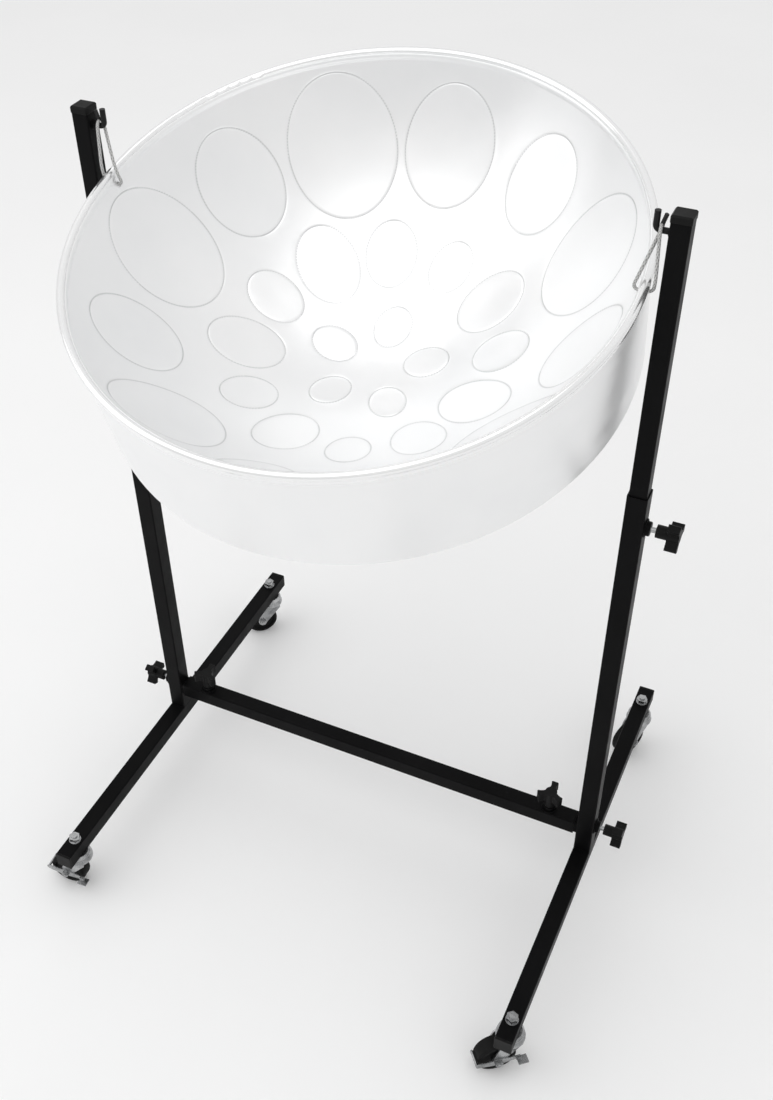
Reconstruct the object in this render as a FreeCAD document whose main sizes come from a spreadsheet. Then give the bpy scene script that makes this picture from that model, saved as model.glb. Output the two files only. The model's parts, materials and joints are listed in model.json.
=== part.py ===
# A tenor steel pan hung by two cord loops from a knock-down telescoping stand on casters.
# Units are millimetres. +Z is up, +X is the player's right and +Y points away from the player.
# The origin lies on the floor, under the middle of the whole assembly's footprint.
import FreeCAD, Part
import math
import os

import Sketcher
from FreeCAD import Placement, Rotation, Vector

doc = FreeCAD.newDocument("SteelPanOnStand")
sheet = doc.addObject("Spreadsheet::Sheet", "Dims")

# alias, value, meaning. Lengths are in mm and angles in degrees.
DIMENSIONS = [
    ("upright_y", 6.05, "the plane of both uprights, behind the middle of the footprint"),
    ("half_span", 310.0, "middle of the crossbar to the middle of an upright"),
    ("tube_side", 22.0, "outside of the feet, lower uprights and crossbar"),
    ("tube_bore", 19.12, "inside of the lower uprights and crossbar"),
    ("foot_bore", 19.0, "inside of the feet"),
    ("post_side", 19.0, "outside of the upper posts and of both kinds of stub"),
    ("post_bore", 16.0, "inside of the upper posts and stubs"),
    ("tube_round", 1.6, "outside corner radius of every square tube"),
    ("caster_height", 68.0, "floor to the underside of the feet"),
    ("foot_length", 604.0, "a foot's tube without its end plugs"),
    ("stem_reach", 275.0, "upright plane to a caster's stem"),
    ("foot_stub_height", 72.0, "welded stub that an upright slips over"),
    ("bar_z", 128.0, "middle of the crossbar above the floor"),
    ("bar_length", 590.0, "crossbar"),
    ("bar_stub_length", 74.0, "welded stub that slips into the crossbar"),
    ("bar_knob_x", 258.0, "crossbar knobs from the middle of the crossbar"),
    ("collar_z", 683.0, "top of a lower upright"),
    ("foot_knob_z", 134.0, "knob that clamps an upright to its foot"),
    ("height_knob_z", 640.0, "knob that clamps an upper post"),
    ("post_top_z", 983.0, "top of an upper post's tube"),
    ("post_length", 521.0, "upper post"),
    ("cap_side", 20.0, "post cap, a little proud of the tube"),
    ("cap_height", 7.0, "post cap above the tube"),
    ("cap_insert", 12.0, "post cap inside the tube"),
    ("hook_z", 970.0, "axis of a hook's seat, which the pan swings about"),
    ("hook_wire_r", 3.0, "hook wire radius"),
    ("hook_bend_r", 5.0, "hook bend radius at the middle of the wire"),
    ("hook_leg_gap", 13.5, "post face to the middle of the hook's leg"),
    ("hook_tip_rise", 18.0, "tip of the hook above its seat's axis"),
    ("nut_r", 8.0, "welded boss radius"),
    ("nut_height", 6.0, "welded boss height"),
    ("screw_r", 3.0, "clamping screw radius"),
    ("screw_hole_r", 3.05, "hole that a clamping screw runs in"),
    ("screw_grip", 11.0, "screw inside a knob's head"),
    ("screw_show", 6.0, "screw seen between boss and knob on the uprights"),
    ("bar_screw_show", 2.0, "screw seen between boss and knob on the crossbar"),
    ("hub_r", 7.2, "knob hub radius"),
    ("hub_height", 12.0, "knob hub height"),
    ("arm_reach", 17.5, "tip of a knob's arm from its axis"),
    ("arm_width", 9.4, "knob arm across its flared tip"),
    ("head_height", 13.0, "knob head height"),
    ("wheel_r", 25.0, "caster wheel radius"),
    ("wheel_half", 9.5, "half a caster wheel's width"),
    ("trail", 18.5, "caster stem to its axle"),
    ("axle_r", 3.0, "caster axle radius"),
    ("stem_r", 4.0, "caster stem radius"),
    ("leg_gap", 10.8, "wheel's middle plane to the inside of a fork leg"),
    ("leg_thick", 2.0, "fork leg thickness"),
    ("pan_y", -23.0, "rim centre, from the upright plane"),
    ("pan_z", 916.2, "rim centre above the floor"),
    ("pan_tilt", 16.5, "the rim's plane, low edge towards the player"),
    ("rim_r", 292.0, "outside of the rim"),
    ("bead_r", 4.25, "rolled bead radius"),
    ("rim_drop", 10.0, "rim seam below the rim plane"),
    ("seam_r", 290.2, "outside of the folded seam under the bead"),
    ("rim_rise", 2.0, "bead's crest above the rim plane"),
    ("skirt_top_r", 287.3, "outside of the skirt under the rim"),
    ("skirt_foot_r", 285.3, "outside of the skirt at its lower edge"),
    ("skirt_depth", 142.3, "skirt's lower edge below the rim plane"),
    ("sheet_thick", 1.2, "drum steel"),
    ("bowl_top", 9.0, "edge of the sunk bowl below the rim plane"),
    ("bowl_depth", 190.0, "bottom of the sunk bowl below the rim plane"),
    ("note_rise", 0.8, "note area proud of the bowl"),
    ("cord_r", 1.65, "suspension cord radius"),
    ("cord_x", 292.3, "middle of a loop where it turns on its hook"),
    ("hole_r", 2.3, "cord hole radius"),
    ("hole_depth", 13.5, "cord holes below the rim plane"),
    ("hole_y", -1.0, "cord holes behind the upright plane"),
    ("splice_r", 284.2, "a loop's spliced ends between skirt and bowl, from the rim's axis"),
    ("splice_gap", 0.1, "between those two ends"),
    ("outer_elbow_r", 293.4, "corner where a loop turns up outside the skirt"),
    ("inner_elbow_r", 275.4, "corner where it turns up inside the bowl"),
    ("outer_shoulder_r", 295.6, "corner where it passes the rim outside"),
    ("inner_shoulder_r", 279.3, "corner where it passes the rim inside"),
    ("outer_shoulder_rise", 1.0, "outer shoulder above the rim plane"),
    ("inner_shoulder_rise", 3.0, "inner shoulder above the rim plane"),
    ("leg_lean_share", 0.25, "part of a leg's lean that is left above the rim"),
    ("seat_gap", 0.3, "cord clear of the hook that it turns on"),
    ("sleeve_r", 2.1, "ribbed sleeve that binds a loop's ends above its hook"),
    ("sleeve_length", 12.0, "sleeve"),
    ("sleeve_lean", 3.4, "top of the sleeve, outboard of its foot"),
]
for row, (alias, number, meaning) in enumerate(DIMENSIONS, start=1):
    sheet.set(f"A{row}", meaning)
    sheet.set(f"B{row}", str(number))
    sheet.setAlias(f"B{row}", alias)
doc.recompute()

X_AXIS, Y_AXIS, Z_AXIS = Vector(1, 0, 0), Vector(0, 1, 0), Vector(0, 0, 1)
UPRIGHT = Rotation(Z_AXIS, 0)
ALONG_X = Rotation(Y_AXIS, 90)       # turns a piece's own Z to +X
ALONG_MINUS_X = Rotation(Y_AXIS, -90)
ALONG_Y = Rotation(X_AXIS, -90)      # turns a piece's own Z to +Y
ALONG_MINUS_Y = Rotation(X_AXIS, 90)
SIDES = (("left", -1), ("right", 1))

# Which way each caster trails, in degrees anticlockwise from +X seen from above.
CASTERS = (
    ("front_left", -1, -1, -175.0),
    ("front_right", 1, -1, -139.0),
    ("rear_left", -1, 1, -137.0),
    ("rear_right", 1, 1, -116.0),
)

sub_parts = []


def size(alias):
    """One driving dimension, as a plain number."""
    return float(sheet.get(alias))


def value(formula):
    """What a formula of the sheet's aliases comes to now."""
    result = sheet.evalExpression(str(formula))
    return float(getattr(result, "Value", result))


def bind(thing, **formulas):
    """Bind properties to formulas. A double underscore stands for a dot in a property's path."""
    for path, formula in formulas.items():
        thing.setExpression(path.replace("__", "."), str(formula))
    return thing


def place(thing, x="0", y="0", z="0", turn=UPRIGHT):
    """Put a piece at formulas of the sheet, in its own group's frame."""
    thing.Placement = Placement(Vector(0, 0, 0), turn)
    return bind(thing, Placement__Base__x=x, Placement__Base__y=y, Placement__Base__z=z)


def keep(thing, label):
    """Name a finished sub-part, which is written to a file of that name."""
    thing.Label = label
    sub_parts.append(thing)
    return thing


def cylinder(name, radius, height, x="0", y="0", z="0", turn=UPRIGHT):
    return place(bind(doc.addObject("Part::Cylinder", name), Radius=radius, Height=height), x, y, z, turn)


def block(name, length, width, height, x="0", y="0", z="0"):
    """A box centred on x and y, standing on z."""
    box = bind(doc.addObject("Part::Box", name), Length=length, Width=width, Height=height)
    return place(box, f"({x}) - ({length}) / 2", f"({y}) - ({width}) / 2", z)


def rounded_block(name, side, height, radius, z="0"):
    """A square prism with its four long edges rounded, standing on z and centred on its own Z axis."""
    box = block(name + "_square", side, side, height, z=z)
    rounded = doc.addObject("Part::Fillet", name)
    rounded.Base = box
    rounded.Edges = [(edge, radius, radius) for edge in (1, 3, 5, 7)]
    return rounded


def cut(name, base, tool):
    result = doc.addObject("Part::Cut", name)
    result.Base, result.Tool = base, tool
    return result


def fuse(name, pieces):
    result = doc.addObject("Part::MultiFuse", name)
    result.Shapes = pieces
    return result


def group(name, pieces):
    """Separate solids that share one node."""
    result = doc.addObject("Part::Compound", name)
    result.Links = pieces
    return result


def square_tube(name, side, bore, length, holes=()):
    """A square tube along its own Z from 0. Each hole is a cylinder object in the same frame."""
    tube = cut(
        name + "_hollow",
        rounded_block(name + "_outside", side, length, size("tube_round")),
        block(name + "_bore", bore, bore, f"{length} + 2", z="-1"),
    )
    for number, hole in enumerate(holes):
        tube = cut(f"{name}_drilled_{number}", tube, hole)
    return tube


def origin_plane(body, role):
    return next(feature for feature in body.Origin.OriginFeatures if feature.Role == role)


def outline(body, name, plane, corners):
    """A closed sketch of straight edges whose corners are pairs of formulas of the sheet."""
    sketch = body.newObject("Sketcher::SketchObject", name)
    sketch.AttachmentSupport = (origin_plane(body, plane), [""])
    sketch.MapMode = "FlatFace"
    points = [Vector(value(across), value(up), 0) for across, up in corners]
    count = len(points)
    for index, point in enumerate(points):
        sketch.addGeometry(Part.LineSegment(point, points[(index + 1) % count]), False)
    for index in range(count):
        sketch.addConstraint(Sketcher.Constraint("Coincident", index, 2, (index + 1) % count, 1))
    for index, corner in enumerate(corners):
        for kind, formula in zip(("DistanceX", "DistanceY"), corner):
            number = sketch.addConstraint(Sketcher.Constraint(kind, -1, 1, index, 1, value(formula)))
            sketch.setExpression(f"Constraints[{number}]", str(formula))
    return sketch


def lathe(name, corners):
    """A body turned about its own Z axis from (radius, height) corners."""
    body = doc.addObject("PartDesign::Body", name)
    sketch = outline(body, name + "_section", "XZ_Plane", corners)
    turned = body.newObject("PartDesign::Revolution", name + "_turned")
    turned.Profile = sketch
    turned.ReferenceAxis = (sketch, ["V_Axis"])
    turned.Angle = 360
    body.Tip = turned
    return body


def plate(name, corners, thickness):
    """A body cut to an outline in its own XZ plane, its thickness centred on that plane."""
    body = doc.addObject("PartDesign::Body", name)
    sketch = outline(body, name + "_outline", "XZ_Plane", corners)
    pad = body.newObject("PartDesign::Pad", name + "_pad")
    pad.Profile = sketch
    pad.Midplane = True
    bind(pad, Length=thickness)
    body.Tip = pad
    return body


# ---- Formulas that several pieces share -----------------------------------------------------
FOOT_TOP = "Dims.caster_height + Dims.tube_side"
UPRIGHT_Y = "Dims.upright_y"
HALF_TUBE = "Dims.tube_side / 2"
HALF_POST = "Dims.post_side / 2"
WALL = "(Dims.tube_side - Dims.tube_bore) / 2"
TILT = "Dims.pan_tilt * 1 deg"
HOLE_ALONG = f"(Dims.hole_y - Dims.pan_y - Dims.hole_depth * sin({TILT})) / cos({TILT})"


def side_x(side, offset="0"):
    """A place measured outwards from the middle of an upright."""
    return f"{side} * (Dims.half_span + {offset})"


# ---- The stand's fixed frame ----------------------------------------------------------------
def make_crossbar():
    holes = [
        cylinder(f"crossbar_hole_{label}", "Dims.screw_hole_r", "Dims.tube_side / 2 + 2",
                 "0", "0", f"Dims.bar_length / 2 + {side} * Dims.bar_knob_x", ALONG_MINUS_X)
        for label, side in SIDES
    ]
    bar = square_tube("crossbar_tube", "Dims.tube_side", "Dims.tube_bore", "Dims.bar_length", holes)
    place(bar, "-Dims.bar_length / 2", UPRIGHT_Y, "Dims.bar_z", ALONG_X)
    keep(bar, "crossbar")
    nuts = [
        weld_boss(f"crossbar_boss_{label}", f"{side} * Dims.bar_knob_x", UPRIGHT_Y,
                  f"Dims.bar_z + {HALF_TUBE}", UPRIGHT)
        for label, side in SIDES
    ]
    keep(group("crossbar_bosses", nuts), "crossbar_weld_bosses")


def weld_boss(name, x, y, z, turn):
    """A threaded boss welded over a screw hole, its own Z pointing out of the tube."""
    boss = lathe(name, [
        ("Dims.screw_hole_r", "0"),
        ("Dims.nut_r + 1", "0"),
        ("Dims.nut_r", "1.2"),
        ("Dims.nut_r", "Dims.nut_height - 0.8"),
        ("Dims.nut_r - 0.8", "Dims.nut_height"),
        ("Dims.screw_hole_r", "Dims.nut_height"),
    ])
    return place(boss, x, y, z, turn)


def make_side_frame(label, side):
    """A foot, its stub, the lower upright and the upright's stub for the crossbar."""
    stem_holes = [
        cylinder(f"foot_{label}_stem_hole_{end}", "Dims.stem_r + 0.1", "Dims.tube_side + 2",
                 "0", f"-({HALF_TUBE}) - 1", f"Dims.foot_length / 2 + {sign} * Dims.stem_reach", ALONG_Y)
        for end, sign in (("front", -1), ("rear", 1))
    ]
    foot = square_tube(f"foot_{label}", "Dims.tube_side", "Dims.foot_bore", "Dims.foot_length", stem_holes)
    place(foot, side_x(side), "Dims.upright_y - Dims.foot_length / 2",
          "Dims.caster_height + Dims.tube_side / 2", ALONG_Y)
    keep(foot, f"foot_tube_{label}")

    stub = square_tube(f"foot_stub_{label}_tube", "Dims.post_side", "Dims.post_bore", "Dims.foot_stub_height")
    keep(place(stub, side_x(side), UPRIGHT_Y, FOOT_TOP), f"foot_stub_{label}")

    outward = ALONG_X if side > 0 else ALONG_MINUS_X
    screw_holes = [
        cylinder(f"upright_{label}_{use}_hole", "Dims.screw_hole_r", "Dims.tube_side / 2 + 2",
                 "0", "0", f"Dims.{use}_knob_z - ({FOOT_TOP})", outward)
        for use in ("foot", "height")
    ]
    upright = square_tube(f"upright_{label}_tube", "Dims.tube_side", "Dims.tube_bore",
                          f"(Dims.collar_z - ({FOOT_TOP}))", screw_holes)
    keep(place(upright, side_x(side), UPRIGHT_Y, FOOT_TOP), f"lower_upright_{label}")

    bar_stub = square_tube(f"bar_stub_{label}_tube", "Dims.post_side", "Dims.post_bore", "Dims.bar_stub_length")
    inward = ALONG_MINUS_X if side > 0 else ALONG_X
    place(bar_stub, side_x(side, f"-({HALF_TUBE})"), UPRIGHT_Y, "Dims.bar_z", inward)
    keep(bar_stub, f"crossbar_stub_{label}")


def make_upright_bosses():
    bosses = []
    for label, side in SIDES:
        for use in ("foot", "height"):
            turn = ALONG_X if side > 0 else ALONG_MINUS_X
            bosses.append(weld_boss(f"upright_boss_{label}_{use}", side_x(side, HALF_TUBE), UPRIGHT_Y,
                                    f"Dims.{use}_knob_z", turn))
    keep(group("upright_bosses", bosses), "upright_weld_bosses")


def make_foot_plugs():
    """Push-in plugs that close the open ends of both feet."""
    plugs = []
    for label, side in SIDES:
        for end, sign in (("front", -1), ("rear", 1)):
            name = f"plug_{end}_{label}"
            face = rounded_block(name + "_face", "Dims.tube_side", "3", size("tube_round"))
            insert = block(name + "_insert", "Dims.foot_bore - 0.1", "Dims.foot_bore - 0.1", "12", z="-12")
            plug = fuse(name, [face, insert])
            place(plug, side_x(side), f"Dims.upright_y + {sign} * Dims.foot_length / 2",
                  "Dims.caster_height + Dims.tube_side / 2", ALONG_Y if sign > 0 else ALONG_MINUS_Y)
            plugs.append(plug)
    keep(group("foot_plugs", plugs), "foot_end_plugs")


# ---- The telescoping posts ------------------------------------------------------------------
def make_post(label, side):
    post = square_tube(f"post_{label}_tube", "Dims.post_side", "Dims.post_bore", "Dims.post_length")
    keep(place(post, side_x(side), UPRIGHT_Y, "Dims.post_top_z - Dims.post_length"), f"upper_post_{label}")
    make_post_cap(label, side)
    make_hook(label, side)


def make_post_cap(label, side):
    """A plastic cap with a chamfered top, proud of the post, and an insert inside it."""
    name = f"cap_{label}"
    head = rounded_block(name + "_head", "Dims.cap_side", "Dims.cap_height", size("tube_round"))
    top = doc.addObject("Part::Chamfer", name + "_top")
    top.Base = head
    doc.recompute()
    crown = head.Shape.BoundBox.ZMax
    bevel = 1.5
    top.Edges = [
        (index, bevel, bevel)
        for index, edge in enumerate(head.Shape.Edges, start=1)
        if abs(edge.BoundBox.ZMin - crown) < 1e-6 and abs(edge.BoundBox.ZMax - crown) < 1e-6
    ]
    insert = block(name + "_insert", "Dims.post_bore - 0.1", "Dims.post_bore - 0.1", "Dims.cap_insert",
                   z="-Dims.cap_insert")
    cap = fuse(name, [top, insert])
    keep(place(cap, side_x(side), UPRIGHT_Y, "Dims.post_top_z"), f"post_cap_{label}")


def swept(name, path, radius, start, direction):
    """A round section of one radius swept along a wire that begins at start."""
    spine = doc.addObject("Part::Feature", name + "_path")
    spine.Shape = path
    ring = doc.addObject("Part::Circle", name + "_section")
    bind(ring, Radius=radius)
    ring.Placement = Placement(start, Rotation(Z_AXIS, direction))
    sweep = doc.addObject("Part::Sweep", name)
    sweep.Sections = [ring]
    sweep.Spine = (spine, [f"Edge{number}" for number in range(1, len(path.Edges) + 1)])
    sweep.Solid = True
    sweep.Frenet = False
    return sweep


def make_hook(label, side):
    """A J of round wire welded to the post's inner face, its leg standing up inboard."""
    face = side * (size("half_span") - size("post_side") / 2)
    bend = size("hook_bend_r")
    leg = face - side * size("hook_leg_gap")
    seat_z, tip_z, y = size("hook_z"), size("hook_z") + size("hook_tip_rise"), size("upright_y")
    start = Vector(face, y, seat_z)
    bend_start, bend_end = Vector(leg + side * bend, y, seat_z), Vector(leg, y, seat_z + bend)
    middle = Vector(leg + side * bend * (1 - math.sqrt(0.5)), y, seat_z + bend * (1 - math.sqrt(0.5)))
    path = Part.Wire([
        Part.LineSegment(start, bend_start).toShape(),
        Part.Arc(bend_start, middle, bend_end).toShape(),
        Part.LineSegment(bend_end, Vector(leg, y, tip_z)).toShape(),
    ])
    hook = swept(f"hook_{label}_wire", path, "Dims.hook_wire_r", start, Vector(-side, 0, 0))
    keep(hook, f"hook_{label}")


# ---- Clamping knobs -------------------------------------------------------------------------
def knob_positions():
    """name, x, y, z, outward turn and the screw seen under the head, for all six knobs."""
    for label, side in SIDES:
        outward = ALONG_X if side > 0 else ALONG_MINUS_X
        for use in ("foot", "height"):
            yield (f"{use}_knob_{label}", side_x(side, HALF_TUBE), UPRIGHT_Y, f"Dims.{use}_knob_z",
                   outward, "Dims.screw_show")
        yield (f"crossbar_knob_{label}", f"{side} * Dims.bar_knob_x", UPRIGHT_Y,
               f"Dims.bar_z + {HALF_TUBE}", UPRIGHT, "Dims.bar_screw_show")


def make_knob(name, x, y, z, turn, show):
    """A three-armed head moulded on a screw whose tip bears on the tube inside."""
    base = f"(Dims.nut_height + {show})"
    hub = cylinder(name + "_hub", "Dims.hub_r", "Dims.hub_height + 1", z=base)
    head_z = f"{base} + Dims.hub_height"
    core = cylinder(name + "_core", "Dims.hub_r + 0.6", "Dims.head_height", z=head_z)
    arms = []
    for third in range(3):
        arm = plate(f"{name}_arm_{third}", [
            ("0", "-Dims.arm_width / 2"),
            ("Dims.arm_reach * 0.55", "-Dims.arm_width * 0.36"),
            ("Dims.arm_reach - 4", "-Dims.arm_width * 0.40"),
            ("Dims.arm_reach - 1.2", "-Dims.arm_width / 2"),
            ("Dims.arm_reach", "-Dims.arm_width / 2 + 1.2"),
            ("Dims.arm_reach", "Dims.arm_width / 2 - 1.2"),
            ("Dims.arm_reach - 1.2", "Dims.arm_width / 2"),
            ("Dims.arm_reach - 4", "Dims.arm_width * 0.40"),
            ("Dims.arm_reach * 0.55", "Dims.arm_width * 0.36"),
            ("0", "Dims.arm_width / 2"),
        ], "Dims.head_height")
        turned = Rotation(Z_AXIS, 90 + 120 * third) * Rotation(X_AXIS, 90)
        arms.append(place(arm, "0", "0", f"{head_z} + Dims.head_height / 2", turned))
    lump = fuse(name + "_lump", [hub, core] + arms)
    bore = cylinder(name + "_bore", "Dims.screw_r", "Dims.screw_grip", z=base)
    keep(place(cut(name + "_moulding", lump, bore), x, y, z, turn), name + "_head")

    tip = f"{WALL} + 0.01"
    screw = cylinder(name + "_shank", "Dims.screw_r", f"{tip} + {base} + Dims.screw_grip", z=f"-({tip})")
    keep(place(group(name + "_thread", [screw]), x, y, z, turn), name + "_screw")


# ---- Casters --------------------------------------------------------------------------------
CUP_BASE = 62.0       # underside of the fixed bearing cup
CROWN_BASE = 53.5     # underside of the fork's crown
PIN_HEAD = 51.6       # underside of the king pin's riveted head
RUNNING_GAP = 0.1     # between the faces of the swivel bearing


def stem_place(thing, side, end, angle=0.0):
    turn = Rotation(Z_AXIS, angle)
    return place(thing, side_x(side), f"Dims.upright_y + {end} * Dims.stem_reach", "0", turn)


def make_caster_mount(name):
    """Threaded stem, bearing cup and riveted king pin in one piece, fixed under the foot."""
    top = f"{FOOT_TOP} + 10"
    return lathe(name, [
        ("0", str(PIN_HEAD)),
        ("6", str(PIN_HEAD)),
        ("6", str(CROWN_BASE - RUNNING_GAP)),
        ("Dims.stem_r", str(CROWN_BASE - RUNNING_GAP)),
        ("Dims.stem_r", str(CUP_BASE)),
        ("15.5", str(CUP_BASE)),
        ("16.5", str(CUP_BASE + 1)),
        ("16.5", "Dims.caster_height - 2.5"),
        ("14", "Dims.caster_height"),
        ("Dims.stem_r", "Dims.caster_height"),
        ("Dims.stem_r", top),
        ("0", top),
    ])


def make_fork(name):
    """A crown that turns under the bearing cup, with a leg on each side of the wheel."""
    crown_top = CUP_BASE - RUNNING_GAP
    crown = lathe(name + "_crown", [
        ("Dims.stem_r + 0.06", str(CROWN_BASE)),
        ("17", str(CROWN_BASE)),
        ("18.2", str(CROWN_BASE + 1.5)),
        ("18.2", str(CROWN_BASE + 4)),
        ("15.5", str(crown_top)),
        ("Dims.stem_r + 0.06", str(crown_top)),
    ])
    pieces = [crown]
    for number, sign in enumerate((-1, 1)):
        leg = plate(f"{name}_leg_{number}", [
            ("-12", str(CROWN_BASE + 2)),
            ("12", str(CROWN_BASE + 2)),
            ("17", str(CROWN_BASE - 3)),
            ("Dims.trail + 7", "Dims.wheel_r + 4"),
            ("Dims.trail + 7", "Dims.wheel_r - 2"),
            ("Dims.trail + 3.5", "Dims.wheel_r - 7"),
            ("Dims.trail - 3.5", "Dims.wheel_r - 7"),
            ("Dims.trail - 8", "Dims.wheel_r - 1"),
            ("-12", str(CROWN_BASE - 4)),
        ], "Dims.leg_thick")
        pieces.append(place(leg, "0", f"{sign} * (Dims.leg_gap + Dims.leg_thick / 2)", "0"))
    axle_hole = cylinder(name + "_axle_hole", "Dims.axle_r + 0.02", "40", "Dims.trail", "-20", "Dims.wheel_r", ALONG_Y)
    return cut(name, fuse(name + "_solid", pieces), axle_hole)


def make_wheel(name):
    """A moulded wheel with a rounded tread and dished sides, turned about its axle."""
    return lathe(name, [
        ("Dims.axle_r + 0.06", "-Dims.wheel_half - 0.6"),
        ("6.5", "-Dims.wheel_half - 0.6"),
        ("7.5", "-Dims.wheel_half + 2"),
        ("Dims.wheel_r - 6.5", "-Dims.wheel_half + 2"),
        ("Dims.wheel_r - 5.5", "-Dims.wheel_half"),
        ("Dims.wheel_r - 2", "-Dims.wheel_half"),
        ("Dims.wheel_r - 0.5", "-Dims.wheel_half + 1.2"),
        ("Dims.wheel_r", "-Dims.wheel_half + 3"),
        ("Dims.wheel_r", "Dims.wheel_half - 3"),
        ("Dims.wheel_r - 0.5", "Dims.wheel_half - 1.2"),
        ("Dims.wheel_r - 2", "Dims.wheel_half"),
        ("Dims.wheel_r - 5.5", "Dims.wheel_half"),
        ("Dims.wheel_r - 6.5", "Dims.wheel_half - 2"),
        ("7.5", "Dims.wheel_half - 2"),
        ("6.5", "Dims.wheel_half + 0.6"),
        ("Dims.axle_r + 0.06", "Dims.wheel_half + 0.6"),
    ])


def hexagon(name, across_flats, height, bore, z="0"):
    """A hexagon nut or head, standing on z of its own frame."""
    prism = doc.addObject("Part::Prism", name + "_prism")
    prism.Polygon = 6
    bind(prism, Circumradius=f"{across_flats} / sqrt(3)", Height=height)
    place(prism, z=z)
    hole = cylinder(name + "_hole", bore, f"{height} + 2", z=f"{z} - 1")
    return cut(name, prism, hole)


def make_axle(name, lever_side):
    """A bolt through the fork, with a head on one side and a nut on the other."""
    reach = "(Dims.leg_gap + Dims.leg_thick)"
    nut_gap = "1.8" if lever_side else "0.1"
    shank = cylinder(name + "_shank", "Dims.axle_r", f"2 * {reach} + {nut_gap} + 5", z=f"-{reach} - 0.1")
    head = cylinder(name + "_head", "5", "2.6", z=f"-{reach} - 2.7")
    nut = hexagon(name + "_nut", "9", "3.6", "Dims.axle_r - 0.2", z=f"{reach} + {nut_gap}")
    return fuse(name, [shank, head, nut])


def make_brake_lever(name):
    """A pressed lever on the axle's end: a toe tab in front and a shoe bar behind the wheel."""
    inside, thick = "(Dims.leg_gap + Dims.leg_thick + 0.1)", "1.6"
    arm = plate(name + "_arm", [
        ("Dims.trail - 27", "Dims.wheel_r - 3"),
        ("Dims.trail - 8", "Dims.wheel_r - 5"),
        ("Dims.trail + 6", "Dims.wheel_r - 5.5"),
        ("Dims.trail + Dims.wheel_r + 2", "Dims.wheel_r - 1"),
        ("Dims.trail + Dims.wheel_r + 4", "Dims.wheel_r + 3"),
        ("Dims.trail + Dims.wheel_r", "Dims.wheel_r + 5"),
        ("Dims.trail + 4", "Dims.wheel_r + 5.5"),
        ("Dims.trail - 10", "Dims.wheel_r + 3.5"),
        ("Dims.trail - 27", "Dims.wheel_r + 2"),
    ], thick)
    place(arm, "0", f"{inside} + {thick} / 2", "0")
    shoe = cylinder(name + "_shoe", "1.7", f"{inside} + {thick} + 8",
                    "Dims.trail + Dims.wheel_r + 2", "-8",
                    "Dims.wheel_r + 1.6", ALONG_Y)
    tab = block(name + "_tab", "13", "11", "1.6", "Dims.trail - 27 - 2", f"{inside} + 5.5", "Dims.wheel_r - 2")
    web = block(name + "_web", "6", f"{thick} + 2", "4.8", "Dims.trail - 25", f"{inside} + 1.8", "Dims.wheel_r - 2.8")
    lump = fuse(name + "_lump", [arm, shoe, tab, web])
    pivot = cylinder(name + "_pivot", "Dims.axle_r + 0.06", "30", "Dims.trail", "0", "Dims.wheel_r", ALONG_Y)
    return cut(name, lump, pivot)


def make_casters():
    mounts, washers, nuts = [], [], []
    for label, side, end, angle in CASTERS:
        braked = end < 0
        mounts.append(stem_place(make_caster_mount(f"mount_{label}"), side, end))
        washer = lathe(f"washer_{label}", [
            ("Dims.stem_r + 0.2", FOOT_TOP), ("8", FOOT_TOP),
            ("8", f"{FOOT_TOP} + 1.4"), ("Dims.stem_r + 0.2", f"{FOOT_TOP} + 1.4"),
        ])
        washers.append(stem_place(washer, side, end))
        nut = hexagon(f"stem_nut_{label}", "13", "6.5", "Dims.stem_r + 0.05", f"{FOOT_TOP} + 1.4")
        nuts.append(stem_place(nut, side, end, angle))
        keep(stem_place(make_fork(f"fork_{label}"), side, end, angle), f"caster_fork_{label}")

        turn = Rotation(Z_AXIS, angle)
        heading = math.radians(angle)
        axle_x = f"({side_x(side)}) + Dims.trail * ({math.cos(heading):.6f})"
        axle_y = f"Dims.upright_y + {end} * Dims.stem_reach + Dims.trail * ({math.sin(heading):.6f})"
        wheel = make_wheel(f"wheel_{label}")
        keep(place(wheel, axle_x, axle_y, "Dims.wheel_r", turn * ALONG_Y), f"caster_wheel_{label}")
        axle = make_axle(f"axle_{label}", braked)
        keep(place(axle, axle_x, axle_y, "Dims.wheel_r", turn * ALONG_Y), f"caster_axle_{label}")
        if braked:
            lever = make_brake_lever(f"brake_{label}")
            keep(stem_place(lever, side, end, angle), f"brake_lever_{label}")
    keep(group("mounts", mounts), "caster_mounts")
    keep(group("washers", washers), "caster_washers")
    keep(group("stem_nuts", nuts), "caster_stem_nuts")


# ---- The pan --------------------------------------------------------------------------------
def pan_place(thing):
    """Hang a piece made in the rim's own frame at the pan's place and tilt."""
    thing.Placement = Placement(Vector(0, 0, 0), Rotation(X_AXIS, size("pan_tilt")))
    return bind(thing, Placement__Rotation__Angle="Dims.pan_tilt * 1 deg", Placement__Base__x="0",
                Placement__Base__y="Dims.upright_y + Dims.pan_y", Placement__Base__z="Dims.pan_z")


def pan_point(x, y, z):
    """A point of the rim's own frame, in the assembly's frame at rest."""
    tilt = Rotation(X_AXIS, size("pan_tilt"))
    return Vector(0, size("upright_y") + size("pan_y"), size("pan_z")) + tilt.multVec(Vector(x, y, z))


def hole_along():
    """The rim frame's Y of the cord holes, which lie close to the upright plane."""
    return value(HOLE_ALONG)


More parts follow.
